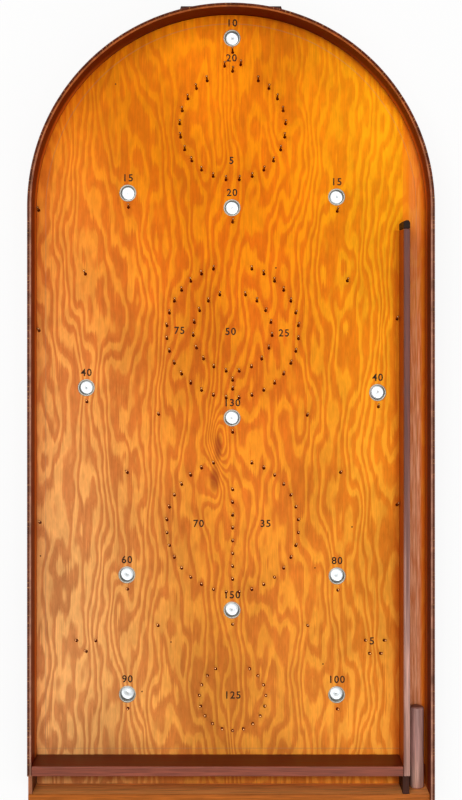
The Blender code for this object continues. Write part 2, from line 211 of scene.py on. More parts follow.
camera_data = bpy.data.cameras.new("camera")
camera_data.sensor_width = 36
camera_data.lens = camera_data.sensor_width * CAMERA_HEIGHT / VIEW_HEIGHT
camera_data.shift_y = -AXIS_ABOVE_CENTRE
camera_data.clip_start = NEAREST_SEEN
camera_data.clip_end = FARTHEST_SEEN
camera = bpy.data.objects.new("camera", camera_data)
bpy.context.scene.collection.objects.link(camera)
camera.matrix_world = BOARD @ Matrix.Translation((0, CAMERA_V, CAMERA_HEIGHT))
bpy.context.scene.camera = camera
bpy.context.scene.view_settings.view_transform = "Standard"
print(f"camera {CAMERA_HEIGHT:.2f} m over the board, lens {camera_data.lens:.1f} mm")


# %% Floor and sky
def seen_directly(tree):
    """1 for a camera, glossy or transmission ray, else 0."""
    path = node(tree, "ShaderNodeLightPath")
    seen = path.outputs["Is Camera Ray"]
    for ray in ("Is Glossy Ray", "Is Transmission Ray"):
        either = {0: seen, 1: path.outputs[ray]}
        seen = node(tree, "ShaderNodeMath", either, operation="MAXIMUM")
    return seen


SKY_LEVEL = 0.36
WHITE_SHARE = 0.86
FLOOR_HALF = 4.0

world = bpy.data.worlds.new("studio_sky")
bpy.context.scene.world = world
world.use_nodes = True
sky = world.node_tree
sky.nodes.clear()
sky_range = {"Value": seen_directly(sky), "To Min": SKY_LEVEL, "To Max": 1.0}
strength = node(sky, "ShaderNodeMapRange", sky_range)
sky_light = {"Color": "#FFFFFF", "Strength": strength}
background = node(sky, "ShaderNodeBackground", sky_light)
node(sky, "ShaderNodeOutputWorld", {"Surface": background})

floor_material = bpy.data.materials.new("studio_floor")
floor_material.use_nodes = True
floor_tree = floor_material.node_tree
floor_tree.nodes.clear()
share_of_white = {0: seen_directly(floor_tree), 1: WHITE_SHARE}
share = node(floor_tree, "ShaderNodeMath", share_of_white, operation="MULTIPLY")
matt = node(floor_tree, "ShaderNodeBsdfDiffuse", {"Color": "#F4F3F1"})
white = node(floor_tree, "ShaderNodeEmission", {"Color": "#FFFFFF", "Strength": 1.0})
mixed = node(floor_tree, "ShaderNodeMixShader", {0: share, 1: matt, 2: white})
node(floor_tree, "ShaderNodeOutputMaterial", {"Surface": mixed})

floor_mesh = bpy.data.meshes.new("floor")
corners = ((-1, -1), (1, -1), (1, 1), (-1, 1))
corners = [(x * FLOOR_HALF, y * FLOOR_HALF, 0) for x, y in corners]
floor_mesh.from_pydata(corners, [], [(0, 1, 2, 3)])
floor_mesh.materials.append(floor_material)
floor = bpy.data.objects.new("floor", floor_mesh)
bpy.context.scene.collection.objects.link(floor)
print("sky level", SKY_LEVEL, "white share", WHITE_SHARE)


# %% Lamps
def soft_lamp(name, place, width, power):
    """A square area lamp at a board place, turned towards the middle of the board."""
    data = bpy.data.lights.new(name, "AREA")
    data.size = width
    data.energy = power
    lamp = bpy.data.objects.new(name, data)
    bpy.context.scene.collection.objects.link(lamp)
    where = BOARD @ Vector(place)
    target = BOARD @ Vector((0, CAMERA_V, 0))
    lamp.location = where
    lamp.rotation_mode = "QUATERNION"
    lamp.rotation_quaternion = (target - where).to_track_quat("-Z", "Y")
    print(f"{name}: {power} W over {width} m")


soft_lamp("far_left_softbox", (-0.55, 0.8, 1.5), 0.9, 10)
soft_lamp("near_right_softbox", (0.8, -0.9, 1.5), 1.0, 6)
soft_lamp("overhead_softbox", (0.0, -0.1, 1.9), 1.1, 15)

# %% [markdown]
# ## Fir plywood under shellac
# Plywood like this is peeled from the log on a lathe, so the blade meets the growth rings at a
# flat angle and they open into wide flames along the grain. In the shader that is a contour map:
# a gentle ramp across the sheet, bent by noise that is drawn out along the grain, cut into steps.
# Each ring goes slowly from pale spring wood to red-brown summer wood and back. Amber shellac
# makes it orange, deepest under the arch. Towards the player it is paler, most on the left: a
# painted reflection, the soft sheen of the coat painted into the colour.
#
# What every wood here needs comes first: a place on the board, a noise with features of a known
# size, and a colour toned by a pattern.


# %% Helpers for places and patterns on the board
def board_position(tree):
    """The shaded point in board coordinates, in metres, as (vector, u, v, w) sockets."""
    coordinates = node(tree, "ShaderNodeTexCoord")
    to_board = {
        "Vector": coordinates.outputs["Object"],
        "Rotation": (-tilt, 0, 0),
        "Location": TO_BOARD.translation,
    }
    turned = node(tree, "ShaderNodeMapping", to_board)
    parts = node(tree, "ShaderNodeSeparateXYZ", {0: turned})
    return turned.outputs[0], parts.outputs[0], parts.outputs[1], parts.outputs[2]


def figure(tree, position, grain, detail=2.0, roughness=0.5, shift=(0, 0, 0)):
    """A 0 to 1 pattern whose features are about grain = (u, v, w) metres in size."""
    scale = tuple(1 / size for size in grain)
    placed = {"Vector": position, "Scale": scale, "Location": shift}
    mapping = node(tree, "ShaderNodeMapping", placed)
    settings = {"Vector": mapping, "Scale": 1.0, "Detail": detail, "Roughness": roughness}
    return node(tree, "ShaderNodeTexNoise", settings)


SMOOTH = {"interpolation_type": "SMOOTHSTEP"}
BLEND = {"data_type": "RGBA"}
TIMES = {"data_type": "RGBA", "blend_type": "MULTIPLY"}


def span(value, start, end, low=0.0, high=1.0):
    """The inputs that take a value from start..end to low..high. Start may be above end."""
    ends = {"From Min": start, "From Max": end, "To Min": low, "To Max": high}
    return {"Value": value, **ends}


def mix(factor, first, second):
    """The inputs that take one colour to another, or multiply them."""
    return {"Factor": factor, "A": first, "B": second}


def toned(tree, colour, pattern, start, end, dark, light):
    """The colour made darker to lighter as a pattern goes from start to end."""
    tone = node(tree, "ShaderNodeMapRange", span(pattern, start, end, dark, light), **SMOOTH)
    return node(tree, "ShaderNodeMix", mix(1.0, colour, tone), **TIMES)


def masked(tree, value, *masks):
    """A value where some 0 to 1 masks agree: it is multiplied by each."""
    for mask in masks:
        value = node(tree, "ShaderNodeMath", {0: value, 1: mask}, operation="MULTIPLY")
    return value


def closeness(tree, position, centre, reach):
    """1 at a point (u, v) of the board, easing to 0 at a reach (u, v) from it."""
    scale = (1 / reach[0], 1 / reach[1], 0)
    shift = (-centre[0] / reach[0], -centre[1] / reach[1], 0)
    placed = {"Vector": position, "Scale": scale, "Location": shift}
    mapping = node(tree, "ShaderNodeMapping", placed)
    away = node(tree, "ShaderNodeVectorMath", {0: mapping}, operation="LENGTH")
    return node(tree, "ShaderNodeMapRange", span(away, 1.0, 0.0), **SMOOTH)


def rim_radius(tree, u, v):
    """How far a point is from the centre of the arch, or below it from the middle line."""
    round_v = node(tree, "ShaderNodeMath", {0: v, 1: 0.0}, operation="MAXIMUM")
    flat = node(tree, "ShaderNodeCombineXYZ", {0: u, 1: round_v, 2: 0.0})
    return node(tree, "ShaderNodeVectorMath", {0: flat}, operation="LENGTH")


# %% Helpers that make a finish and put it on
GRAIN_RELIEF = 0.3 * MM


def finish(name, build):
    """A Principled material. build(tree) returns the values of the shader's sockets."""
    material = bpy.data.materials.new(name)
    material.use_nodes = True
    tree = material.node_tree
    shader = tree.nodes["Principled BSDF"]
    for key, value in build(tree).items():
        give(tree, shader.inputs[key], value)
    print(f"{name}: {len(tree.nodes)} nodes")
    return material


def dress(node_name, material):
    """Gives a CAD node its finish."""
    slots = frame["nodes"][node_name].data.materials
    slots.clear()
    slots.append(material)
    print(f"{node_name}: {material.name}")


# %% The growth rings
# Sizes are (u, v, w), longest along the grain. The rings would lie one step apart; each pattern
# then bends them: its size, its detail, its place in the noise, and by how many rings.
RING_STEP = 13 * MM
RING_BENDS = (
    ((0.12, 0.5, 0.12), 1.0, (0, 0, 0), 13.0),
    ((0.042, 0.14, 0.05), 2.0, (3, 1, 0), 8.0),
    ((0.011, 0.045, 0.01), 1.5, (1, 7, 0), 1.5),
)
FIBRE_SIZE = (0.0011, 0.035, 0.0011)
FIBRE_BEND = 0.45
# Each swirl: its middle (u, v), how far it bends the rings (u, v), by how many rings, and how
# dark its heart is. The first two are pin knots; the third is only a crotch in the figure.
KNOTS = (
    ((-0.013, -0.243), (0.016, 0.05), 3.5, 0.7),
    ((-0.017, -0.277), (0.020, 0.05), -3.0, 0.7),
    ((0.004, 0.118), (0.024, 0.10), 2.5, 0.0),
)
HEART_EDGE = 0.72
FINE_LINES = 4.0
FINE_LINE_SHARE = 0.24
# Along one ring the summer wood comes in slowly and ends sharply. Under the arch it is paler.
SUMMER_RISE = (0.22, 0.55)
SUMMER_FALL = (0.82, 0.98)
SUMMER_STRENGTH = (0.17, -0.12, 0.5, 0.8)


def growth_rings(tree, position, u, v):
    """How much of a point is summer wood, the fine fibres, and the dark hearts of the knots."""
    fibres = figure(tree, position, FIBRE_SIZE, 3.0, 0.6)
    height = node(tree, "ShaderNodeMath", {0: u, 1: RING_STEP}, operation="DIVIDE")
    bends = [
        (figure(tree, position, size, detail, shift=shift), rings)
        for size, detail, shift, rings in RING_BENDS
    ]
    for pattern, rings in (*bends, (fibres, FIBRE_BEND)):
        added = {0: pattern, 1: rings, 2: height}
        height = node(tree, "ShaderNodeMath", added, operation="MULTIPLY_ADD")
    hearts = []
    for centre, reach, rings, darkness in KNOTS:
        close = closeness(tree, position, centre, reach)
        raised = {0: close, 1: rings, 2: height}
        height = node(tree, "ShaderNodeMath", raised, operation="MULTIPLY_ADD")
        heart = span(close, HEART_EDGE, 1.0, 0.0, darkness)
        hearts.append(node(tree, "ShaderNodeMapRange", heart, **SMOOTH))
    ring = node(tree, "ShaderNodeMath", {0: height}, operation="FRACT")
    rise = node(tree, "ShaderNodeMapRange", span(ring, *SUMMER_RISE), **SMOOTH)
    fall = node(tree, "ShaderNodeMapRange", span(ring, *SUMMER_FALL), **SMOOTH)
    summer = node(tree, "ShaderNodeMath", {0: rise, 1: fall}, operation="SUBTRACT")
    finer = node(tree, "ShaderNodeMath", {0: height, 1: FINE_LINES}, operation="MULTIPLY")
    finer = node(tree, "ShaderNodeMath", {0: finer}, operation="FRACT")
    lined = {0: finer, 1: FINE_LINE_SHARE, 2: summer}
    summer = node(tree, "ShaderNodeMath", lined, operation="MULTIPLY_ADD")
    strength = node(tree, "ShaderNodeMapRange", span(v, *SUMMER_STRENGTH), **SMOOTH)
    return masked(tree, summer, strength), fibres, hearts


# %% The colour of the shellacked wood
# Spring wood and summer wood, each at the far end, at the far right, near the player, near on
# the left and near on the right. The near ones are paler, and pinker on the left: a painted
# reflection of the coat's sheen.
SPRING_WOOD = ("#F48A04", "#FFA80C", "#F09A38", "#F4B068", "#FFA63C")
SUMMER_WOOD = ("#D86204", "#EA7E04", "#D0742C", "#C87C46", "#E07C24")
TO_LEFT = (0.0, -0.19)
TO_RIGHT = (0.03, 0.17)
SHEEN_TOWARDS_PLAYER = (0.03, -0.6)
SOONER_ON_LEFT = -0.15


def shellac_and_painted_sheen(tree, u, v, summer):
    """Spring and summer wood under shellac, paled towards the player by a painted sheen."""
    left = node(tree, "ShaderNodeMapRange", span(u, *TO_LEFT), **SMOOTH)
    right = node(tree, "ShaderNodeMapRange", span(u, *TO_RIGHT), **SMOOTH)
    lowered = {0: left, 1: SOONER_ON_LEFT, 2: v}
    lowered = node(tree, "ShaderNodeMath", lowered, operation="MULTIPLY_ADD")
    near = node(tree, "ShaderNodeMapRange", span(lowered, *SHEEN_TOWARDS_PLAYER), **SMOOTH)
    woods = []
    for shades in (SPRING_WOOD, SUMMER_WOOD):
        far, far_right, here, here_left, here_right = shades
        far = node(tree, "ShaderNodeMix", mix(right, far, far_right), **BLEND)
        here = node(tree, "ShaderNodeMix", mix(left, here, here_left), **BLEND)
        here = node(tree, "ShaderNodeMix", mix(right, here, here_right), **BLEND)
        # Towards the player the wood takes its paler near colours: painted sheen.
        woods.append(node(tree, "ShaderNodeMix", mix(near, far, here), **BLEND))
    return node(tree, "ShaderNodeMix", mix(summer, *woods), **BLEND)


# %% The worn lane and its painted light
# Distances across the lane are from the middle of the divider.
LANE_LEFT = (divider_low.x + divider_high.x) / 2
LANE_FLOOR = (LANE_LEFT, LANE_LEFT + MM, 0.0, 0.55)
TRACK_LEFT = (LANE_LEFT + 5 * MM, LANE_LEFT + 10 * MM)
TRACK_RIGHT = (LANE_LEFT + 21 * MM, LANE_LEFT + 17 * MM)
TRACK_WEAR_AND_LIGHT = (0.08, -0.3, 0.1, 0.85)


def lane_wear_and_painted_light(tree, colour, u, v, fibres):
    """The lane is redder, and a pinkish streaky track runs down its middle: worn by marbles, and
    painted brighter as painted light where the lane's walls keep the lamps off.
    """
    redder = node(tree, "ShaderNodeMapRange", span(u, *LANE_FLOOR), **SMOOTH)
    colour = node(tree, "ShaderNodeMix", mix(redder, colour, "#F87C18"), **BLEND)
    into_lane = node(tree, "ShaderNodeMapRange", span(u, *TRACK_LEFT), **SMOOTH)
    out_of_lane = node(tree, "ShaderNodeMapRange", span(u, *TRACK_RIGHT), **SMOOTH)
    use = node(tree, "ShaderNodeMapRange", span(v, *TRACK_WEAR_AND_LIGHT), **SMOOTH)
    lane = masked(tree, into_lane, out_of_lane, use)
    streaks = node(tree, "ShaderNodeMapRange", span(fibres, 0.35, 0.7), **SMOOTH)
    # The pink streaks are marble wear; the bright end of this colour is painted light.
    paler_mark = node(tree, "ShaderNodeMix", mix(streaks, "#C87448", "#FFC09A"), **BLEND)
    return node(tree, "ShaderNodeMix", mix(lane, colour, paler_mark), **BLEND)


# %% Painted shade in the corners, and the setting-out lines
# The painted shade by the rim is stronger on the right of the board than on the left.
SHADE_TO_RIGHT = (-0.05, 0.12, 0.1, 0.4)
# Painted shade at the foot of the rim, at the foot of the divider and close in to the rim.
RIM_SHADE = (INNER - 9 * MM, INNER - MM)
CORNER_SHADE = (INNER - 3 * MM, INNER - MM)
DIVIDER_SHADE = (divider_low.x - 8 * MM, divider_low.x - MM, 0.0, 0.6)
TROUGH_SHADE = (stop_low.y - 22 * MM, stop_low.y - 9 * MM, 0.0, 0.9)
COMPASS_LINE = INNER - 9.5 * MM
GAUGE_LINE = stop_high.y + 6 * MM
HALF_LINE = 0.5 * MM
LINE_STRENGTH = 0.25


def painted_shade(tree, colour, u, v, radius):
    """Painted shade on the floor at the foot of the rim and of the divider, and the stop rail's
    painted shadow in the trough.
    """
    stronger_to_right = node(tree, "ShaderNodeMapRange", span(u, *SHADE_TO_RIGHT), **SMOOTH)
    by_rim = node(tree, "ShaderNodeMapRange", span(radius, *RIM_SHADE), **SMOOTH)
    beside = node(tree, "ShaderNodeMapRange", span(u, *DIVIDER_SHADE), **SMOOTH)
    for place, end in ((u, divider_high.x), (v, divider_high.y)):
        before = node(tree, "ShaderNodeMath", {0: place, 1: end}, operation="LESS_THAN")
        beside = masked(tree, beside, before)
    # Painted shade at the foot of the rim and of the divider.
    foot_shade = {0: masked(tree, by_rim, stronger_to_right), 1: beside}
    foot_shade = node(tree, "ShaderNodeMath", foot_shade, operation="MAXIMUM")
    colour = node(tree, "ShaderNodeMix", mix(foot_shade, colour, "#A83804"), **BLEND)

    # Painted shadow of the stop rail across the trough floor.
    under_rail = node(tree, "ShaderNodeMapRange", span(v, *TROUGH_SHADE), **SMOOTH)
    in_trough = node(tree, "ShaderNodeMath", {0: v, 1: stop_low.y}, operation="LESS_THAN")
    shade = masked(tree, under_rail, in_trough)
    colour = node(tree, "ShaderNodeMix", mix(shade, colour, "#6A1C02"), **BLEND)

    # A darker painted shade close in to the rim.
    corner = node(tree, "ShaderNodeMapRange", span(radius, *CORNER_SHADE), **SMOOTH)
    corner = masked(tree, corner, stronger_to_right)
    return node(tree, "ShaderNodeMix", mix(corner, colour, "#5A1804"), **BLEND)


def scribed(tree, colour, v, radius):
    """A compass and a marking gauge have left faint grey lines."""
    for distance, where in ((radius, COMPASS_LINE), (v, GAUGE_LINE)):
        near_line = {0: distance, 1: where, 2: HALF_LINE}
        line = node(tree, "ShaderNodeMath", near_line, operation="COMPARE")
        faint = masked(tree, line, LINE_STRENGTH)
        colour = node(tree, "ShaderNodeMix", mix(faint, colour, "#9A7C62"), **BLEND)
    return colour


# %% The plywood
# Rotary-cut fir under amber shellac: slow orange flames, fine straight fibres, a satin gloss.
def plywood(tree):
    position, u, v, _ = board_position(tree)
    radius = rim_radius(tree, u, v)
    summer, fibres, hearts = growth_rings(tree, position, u, v)
    colour = shellac_and_painted_sheen(tree, u, v, summer)
    for heart in hearts:
        colour = node(tree, "ShaderNodeMix", mix(heart, colour, "#8A2E14"), **BLEND)
    patches = figure(tree, position, (0.1, 0.2, 0.2), 2.0, 0.5, (5, 2, 0))
    mottle = figure(tree, position, (0.006, 0.02, 0.006), 2.0, 0.6, (2, 4, 0))
    colour = toned(tree, colour, patches, 0.3, 0.7, 0.84, 1.12)
    colour = toned(tree, colour, mottle, 0.3, 0.7, 0.9, 1.07)
    colour = toned(tree, colour, fibres, 0.3, 0.75, 0.91, 1.07)
    colour = lane_wear_and_painted_light(tree, colour, u, v, fibres)
    colour = painted_shade(tree, colour, u, v, radius)
    colour = scribed(tree, colour, v, radius)
    gloss = node(tree, "ShaderNodeMapRange", span(fibres, 0.3, 0.8, 0.4, 0.55), **SMOOTH)
    ridges = {"Strength": 0.12, "Distance": GRAIN_RELIEF, "Height": fibres}
    return {
        "Base Color": colour,
        "Roughness": gloss,
        "Specular IOR Level": 0.03,
        "Normal": node(tree, "ShaderNodeBump", ridges),
    }


dress("playfield_panel", finish("shellacked_fir_plywood", plywood))

# %% [markdown]
# ## Stained and varnished rails
# The rails are plain sawn strips, stained red-brown. Their grain runs along their length, so each
# needs its own direction. Tops and sides take two colours. On the stop rail and the end of the
# rim, hands and marbles have rubbed the stain off the tops, which show paler and pinker than the
# sides.
# The paler top of the push rod is a painted highlight, the pinkish top of the divider a painted
# sheen, and the bright sides of the divider and the front rail are painted light. The height on
# the board picks out the top, so one recipe does for every strip: it takes the direction of the
# grain, the height of the top and the two colours.


# %% The recipe for a strip of stained wood
# The worn top eases into the side over these depths below it.
TOP_FADE = (1.4 * MM, 0.5 * MM)
PALER_TOP_SHARE = 0.75
GLOSS_SPREAD = 0.14
BAND_WIDTH = 3.2


def grain_sizes(along):
    """Sizes of a grain streak that runs along u or v."""
    fine, long = 1.0 * MM, 40 * MM
    return (long, fine, fine) if along == "u" else (fine, long, fine)


def stained_strip(
    name, along, top_height, top, side, gloss=0.38, shine=0.25, paler_part=None, outside=None
):
    """Long-grained wood with a top of one colour and sides of another. paler_part adds a paler
    colour that comes in along v on the top, and outside another one on the sides, each as
    (colour, from, to)."""

    def build(tree):
        position, _, v, w = board_position(tree)
        streaks = figure(tree, position, grain_sizes(along), 3.0, 0.6)
        wide = tuple(BAND_WIDTH * size for size in grain_sizes(along))
        bands = figure(tree, position, wide, 1.0, 0.5, (4, 2, 6))
        upper = span(w, *(top_height - depth for depth in TOP_FADE))
        upper = node(tree, "ShaderNodeMapRange", upper, **SMOOTH)
        top_colour = top
        if paler_part:
            pale, start, end = paler_part
            # A paler top along v: a painted sheen on the divider, a paler near end on the push
            # rod.
            paler_share = node(tree, "ShaderNodeMapRange", span(v, start, end, 0.0, PALER_TOP_SHARE), **SMOOTH)
            patches = span(bands, 0.3, 0.7, 0.45, 1.25)
            patchy = {0: paler_share, 1: node(tree, "ShaderNodeMapRange", patches, **SMOOTH)}
            paler_share = node(tree, "ShaderNodeMath", patchy, operation="MULTIPLY", use_clamp=True)
            top_colour = node(tree, "ShaderNodeMix", mix(paler_share, top, pale), **BLEND)
        side_colour = side
        if outside:
            farther, start, end = outside
            beyond = node(tree, "ShaderNodeMapRange", span(v, start, end), **SMOOTH)
            side_colour = node(tree, "ShaderNodeMix", mix(beyond, side, farther), **BLEND)
        colour = node(tree, "ShaderNodeMix", mix(upper, side_colour, top_colour), **BLEND)
        colour = toned(tree, colour, streaks, 0.3, 0.72, 0.66, 1.28)
        colour = toned(tree, colour, bands, 0.3, 0.7, 0.9, 1.1)
        roughness = span(streaks, 0.3, 0.8, gloss, gloss + GLOSS_SPREAD)
        ridges = {"Strength": 0.2, "Distance": GRAIN_RELIEF, "Height": streaks}
        return {
            "Base Color": colour,
            "Roughness": node(tree, "ShaderNodeMapRange", roughness, **SMOOTH),
            "Specular IOR Level": shine,
            "Normal": node(tree, "ShaderNodeBump", ridges),
        }

    return finish(name, build)


# %% Dress the rails
# Sawn strip, stained and varnished: long streaks, a soft gloss, paler tops. The front rail's side
# that faces the trough is painted bright orange: painted light for the light that face catches.
front_v = board_box("front_rail")[0].y
front_outside = ("#D07022", front_v + 7 * MM, front_v + 5 * MM)
stop_wood = stained_strip("stained_stop_rail", "u", stop_high.z, "#84422F", "#581A08")
# The bright orange side colour of the front rail is painted light.
front_wood = stained_strip(
    "stained_front_rail", "u", LOW_HEIGHT, "#B05E20", "#FFA458", shine=0.1, outside=front_outside
)
step_wood = stained_strip("stained_rim_end", "v", LOW_HEIGHT, "#A86440", "#5A2008")
# The divider's top turns pinkish grey towards the player: a painted sheen. Its orange side colour
# is a painted reflection of the orange floor.
divider_painted_sheen = ("#BE8E7E", -0.20, -0.48)
divider_wood = stained_strip(
    "stained_divider_strip", "v", divider_high.z, "#643228", "#9A3C08", paler_part=divider_painted_sheen
)
# Nearly black wood with little shine: a dark stain on the rough leg board, and the block at the
# foot of the divider and the divider's nose are nearly black too.
leg_wood = stained_strip("stained_leg_board", "v", RIM_HEIGHT, "#4A2412", "#3A180A", 0.6, 0.02)
dark_wood = stained_strip("nearly_black_block", "v", LOW_HEIGHT, "#3E2016", "#2A120A", 0.5, 0.1)
tip_wood = stained_strip("dark_divider_nose", "v", RIM_HEIGHT, "#221008", "#220C06", 0.5, 0.1)

dress("ball_stop_rail", stop_wood)
dress("left_rim_step", step_wood)
dress("front_rail", front_wood)
dress("lane_divider", divider_wood)
dress("prop_leg", leg_wood)
dress("divider_step_block", dark_wood)
dress("divider_tip", tip_wood)

# %% [markdown]
# ## The bent rim
# Two thin strips were steamed, bent round the panel together and nailed. Seen from above the
# seam between them shows: the inner strip's edge is worn to pale pinkish wood, and the outer one
# is dark and a little ragged. A band is a small section carried along a path, which could be a
# curve with a bevel. It is swept by hand here, so that the chips can bite only into the outer
# top edge. The chips are real shape, and only ever take wood away.


# %% Sweep a band round the board
ARCH_STATIONS = 160
STRAIGHT_STATIONS = 80
ROUNDING = 0.35 * MM
CHIP_LENGTH = 5 * MM


def rim_path(right_end, left_end):
    """Stations along the rim: (centre v, direction, distance travelled)."""
    stations = []
    for step in range(STRAIGHT_STATIONS):
        v = right_end * (1 - step / STRAIGHT_STATIONS)
        stations.append((v, (1.0, 0.0), v))
    for step in range(ARCH_STATIONS + 1):
        angle = math.pi * step / ARCH_STATIONS
        stations.append((0.0, (math.cos(angle), math.sin(angle)), angle * OUTER))
    for step in range(1, STRAIGHT_STATIONS + 1):
        v = left_end * step / STRAIGHT_STATIONS
        stations.append((v, (-1.0, 0.0), math.pi * OUTER - v))
    return stations


def chip(distance, seed):
    """How much wood is missing from an edge here, from 0 to 1."""
    return max(0.0, noise.noise(Vector((distance / CHIP_LENGTH, seed, 0.0)))) ** 1.3


def swept_band(inside, outside, low, high, chipping):
    """A closed band mesh with rounded top edges and a chipped outer one."""
    builder = bmesh.new()
    rings = []
    for centre_v, direction, distance in rim_path(outer_low.y, stop_low.y):
        bite = chipping * chip(distance, 2.0)
        drop = chipping * chip(distance, 9.0)
        section = (
            (inside, low),
            (outside, low),
            (outside, high - ROUNDING - drop),
            (outside - ROUNDING - bite, high - 0.4 * drop),
            (inside + ROUNDING, high),
            (inside, high - ROUNDING),
        )
        ring = [
            builder.verts.new((r * direction[0], centre_v + r * direction[1], w))
            for r, w in section
        ]
        rings.append(ring)
    count = len(rings[0])
    for first, second in zip(rings, rings[1:]):
        for i in range(count):
            j = (i + 1) % count
            builder.faces.new((first[i], first[j], second[j], second[i]))
    builder.faces.new(reversed(rings[0]))
    builder.faces.new(rings[-1])
    bmesh.ops.recalc_face_normals(builder, faces=builder.faces)
    return as_mesh(builder, "band")


# %% The rim's finish
# Steam-bent strip, stained and varnished: the stain has pooled on the sides and the top is worn,
# so the eye reads a pale line and a dark one. The inner face is painted darker round the arch as
# painted shade, and away from the top of the arch its foot is painted orange as painted bounce
# light from the panel.
RIM_TOP_FADE = (1.3 * MM, 0.4 * MM)
PAINTED_FOOT_LIGHT = (16 * MM, 4 * MM, 0.0, 0.8)
ARCH_TO_SIDES = (0.12, -0.05)
ARCH_TO_SHOULDERS = (0.19, 0.09)
INNER_FACE = INNER + 0.5 * MM


def bent_wood(worn_top, top, side, shaded_crown_side, chipped):
    """A finish whose grain follows the bend. Tops and sides change from the arch to the player:
    the side darkens round the arch as painted shade, and the inner face's foot is painted orange
    as bounce light.
    """

    def build(tree):
        _, u, v, w = board_position(tree)
        round_v = node(tree, "ShaderNodeMath", {0: v, 1: 0.0}, operation="MAXIMUM")
        around = node(tree, "ShaderNodeMath", {0: round_v, 1: u}, operation="ARCTAN2")
        arc = node(tree, "ShaderNodeMath", {0: around, 1: OUTER}, operation="MULTIPLY")
        run = node(tree, "ShaderNodeMath", {0: v, 1: 0.0}, operation="MINIMUM")
        run = node(tree, "ShaderNodeMath", {0: arc, 1: run}, operation="ADD")
        unrolled = node(tree, "ShaderNodeCombineXYZ", {0: w, 1: run, 2: 0.0})
        streaks = figure(tree, unrolled, (0.9 * MM, 30 * MM, MM), 3.0, 0.6)
        blotches = figure(tree, unrolled, (30 * MM, 14 * MM, MM), 2.0, 0.6, (3, 3, 0))
        specks = figure(tree, unrolled, (MM, 1.6 * MM, MM), 2.0, 0.6, (8, 3, 0))

        sides = node(tree, "ShaderNodeMapRange", span(v, *ARCH_TO_SIDES), **SMOOTH)
        pale = node(tree, "ShaderNodeMix", mix(sides, top, worn_top), **BLEND)
        patchy = toned(tree, pale, blotches, 0.3, 0.65, 0.6, 1.05)
        paler_mark = span(specks, 0.56, 0.66, 0.0, chipped)
        paler_mark = node(tree, "ShaderNodeMapRange", paler_mark, **SMOOTH)
        patchy = node(tree, "ShaderNodeMix", mix(paler_mark, patchy, "#C88E56"), **BLEND)

        # Round the arch the side is painted darker: painted shade.
        lower = node(tree, "ShaderNodeMix", mix(sides, shaded_crown_side, side), **BLEND)
        low = node(tree, "ShaderNodeMapRange", span(w, *PAINTED_FOOT_LIGHT), **SMOOTH)
        shoulders = node(tree, "ShaderNodeMapRange", span(v, *ARCH_TO_SHOULDERS), **SMOOTH)
        inner_face = {0: rim_radius(tree, u, v), 1: INNER_FACE}
        inner_face = node(tree, "ShaderNodeMath", inner_face, operation="LESS_THAN")
        low = masked(tree, low, shoulders, inner_face)
        # Painted bounce light: the foot of the inner face painted orange.
        lower = node(tree, "ShaderNodeMix", mix(low, lower, "#E07018"), **BLEND)

        upper = span(w, *(RIM_HEIGHT - depth for depth in RIM_TOP_FADE))
        upper = node(tree, "ShaderNodeMapRange", upper, **SMOOTH)
        colour = node(tree, "ShaderNodeMix", mix(upper, lower, patchy), **BLEND)
        gloss = node(tree, "ShaderNodeMapRange", span(streaks, 0.3, 0.8, 0.4, 0.55), **SMOOTH)
        ridges = {"Strength": 0.25, "Distance": GRAIN_RELIEF, "Height": streaks}
        return {
            "Base Color": toned(tree, colour, streaks, 0.28, 0.74, 0.78, 1.18),
            "Roughness": gloss,
            "Specular IOR Level": 0.06,
            "Normal": node(tree, "ShaderNodeBump", ridges),
        }

    return build


# The inner strip's darker side at the arch is painted shade.
worn_inner = bent_wood("#B07C66", "#A85626", "#681C06", "#5A0C00", 0.25)
dark_outer = bent_wood("#6C3826", "#5E2410", "#5E2412", "#5E2412", 0.7)
inner_wood = finish("bent_strip_worn_inner", worn_inner)
outer_wood = finish("bent_strip_dark_outer", dark_outer)

# %% The two bands
HALF_SEAM = 0.15 * MM
INNER_CHIPPING = 0.08 * MM
OUTER_CHIPPING = 0.7 * MM
inner_band = swept_band(INNER, JOIN - HALF_SEAM, outer_low.z, RIM_HEIGHT, INNER_CHIPPING)
outer_band = swept_band(JOIN + HALF_SEAM, OUTER, outer_low.z, RIM_HEIGHT, OUTER_CHIPPING)
piece("bent_inner_strip", inner_band, inner_wood, "board", ["rim_inner_band"])
piece("bent_outer_strip", outer_band, outer_wood, "board", ["rim_outer_band"])

# %% [markdown]
# ## Turned pieces
# The push rod, the cups and the nails are all round about an axis. Each is a profile spun about
# that axis. The profile starts and ends on the axis, so the ends close by themselves, and the
# doubled points there are merged before the normals are worked out.


# %% Spin a profile
SHARP_EDGE = math.radians(38)


def spun(profile, steps):
    """A bmesh spun about w from a profile of (radius, w) points."""
    builder = bmesh.new()
    verts = [builder.verts.new((radius, 0, w)) for radius, w in profile]
    edges = [builder.edges.new(pair) for pair in zip(verts, verts[1:])]
    bmesh.ops.spin(
        builder,
        geom=verts + edges,
        cent=(0, 0, 0),
        axis=(0, 0, 1),
        angle=2 * math.pi,
        steps=steps,
        use_merge=True,
    )
    bmesh.ops.remove_doubles(builder, verts=builder.verts, dist=MM / 1000)
    bmesh.ops.recalc_face_normals(builder, faces=builder.faces)
    for face in builder.faces:
        face.smooth = True
    for edge in builder.edges:
        edge.smooth = edge.calc_face_angle(0.0) < SHARP_EDGE
    return builder


